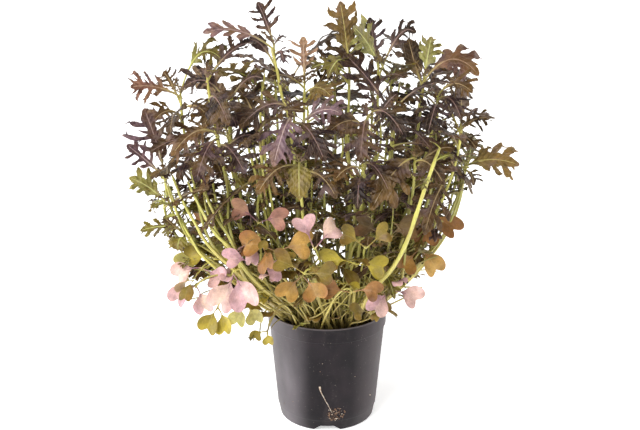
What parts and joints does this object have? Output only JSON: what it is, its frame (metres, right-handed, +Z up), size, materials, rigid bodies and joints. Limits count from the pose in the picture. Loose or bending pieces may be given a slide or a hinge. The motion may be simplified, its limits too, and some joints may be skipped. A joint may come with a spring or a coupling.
{
  "type": "potted mustard greens",
  "caption": "Round nursery pot of soil holding a dense crown of frilly red mustard seedlings on thin stems, with small heart-shaped seed leaves trailing over the rim.",
  "frame": {"origin": "centre of the flat boss under the pot, on the plane that it rests on", "axes": "+Z up along the pot's axis, -Y towards the front of the plant"},
  "size_m": [0.3306, 0.2405, 0.368],
  "materials": {
    "leaf_purple": "dull red-purple leaf with paler veins",
    "leaf_bronze": "red-brown leaf with paler veins",
    "leaf_olive": "olive green leaf with pale veins",
    "seed_leaf_pink": "smooth pinkish tan seed leaf",
    "seed_leaf_amber": "smooth orange-tan seed leaf",
    "seed_leaf_green": "smooth light olive seed leaf",
    "pot": "dark charcoal moulded plastic, dusty",
    "soil": "dark brown crumbly potting mix"
  },
  "bodies": {
    "root": {"seedling_front_01": "leaf_purple", "seedling_front_02": "leaf_olive", "seedling_front_03": "leaf_purple", "seedling_front_04": "leaf_bronze", "seedling_front_05": "leaf_bronze", "seedling_front_06": "leaf_purple", "seedling_front_07": "leaf_olive", "seedling_front_08": "leaf_olive", "seedling_front_09": "leaf_olive", "seedling_front_10": "leaf_bronze", "seedling_front_11": "leaf_bronze", "seedling_front_12": "leaf_purple", "seedling_front_13": "leaf_purple", "seedling_front_14": "leaf_purple", "seedling_front_15": "leaf_purple", "seedling_front_16": "leaf_purple", "seedling_front_17": "leaf_bronze", "seedling_front_18": "leaf_bronze", "seedling_front_19": "leaf_purple", "seedling_front_20": "leaf_olive", "seedling_front_21": "leaf_purple", "seedling_rear_01": "leaf_purple", "seedling_rear_02": "leaf_bronze", "seedling_rear_03": "leaf_purple", "seedling_rear_04": "leaf_olive", "seedling_rear_05": "leaf_purple", "seedling_rear_06": "leaf_bronze", "seedling_rear_07": "leaf_purple", "seedling_rear_08": "leaf_olive", "seedling_rear_09": "leaf_purple", "seedling_rear_10": "leaf_bronze", "seedling_rear_11": "leaf_purple", "seedling_rear_12": "leaf_olive", "seedling_rear_13": "leaf_purple", "seedling_rear_14": "leaf_bronze", "sprout_front_01": "seed_leaf_green", "sprout_front_02": "seed_leaf_pink", "sprout_front_03": "seed_leaf_pink", "sprout_front_04": "seed_leaf_pink", "sprout_front_05": "seed_leaf_green", "sprout_front_06": "seed_leaf_green", "sprout_front_07": "seed_leaf_green", "sprout_front_08": "seed_leaf_amber", "sprout_front_09": "seed_leaf_pink", "sprout_front_10": "seed_leaf_pink", "sprout_front_11": "seed_leaf_amber", "sprout_front_12": "seed_leaf_pink", "sprout_front_13": "seed_leaf_amber", "sprout_front_14": "seed_leaf_amber", "sprout_front_15": "seed_leaf_green", "sprout_front_16": "seed_leaf_green", "sprout_front_17": "seed_leaf_pink", "sprout_front_18": "seed_leaf_green", "sprout_rear_01": "seed_leaf_pink", "sprout_rear_02": "seed_leaf_amber", "sprout_rear_03": "seed_leaf_green", "sprout_rear_04": "seed_leaf_pink", "sprout_rear_05": "seed_leaf_amber", "pot": "pot", "soil": "soil"}
  },
  "joints": []
}
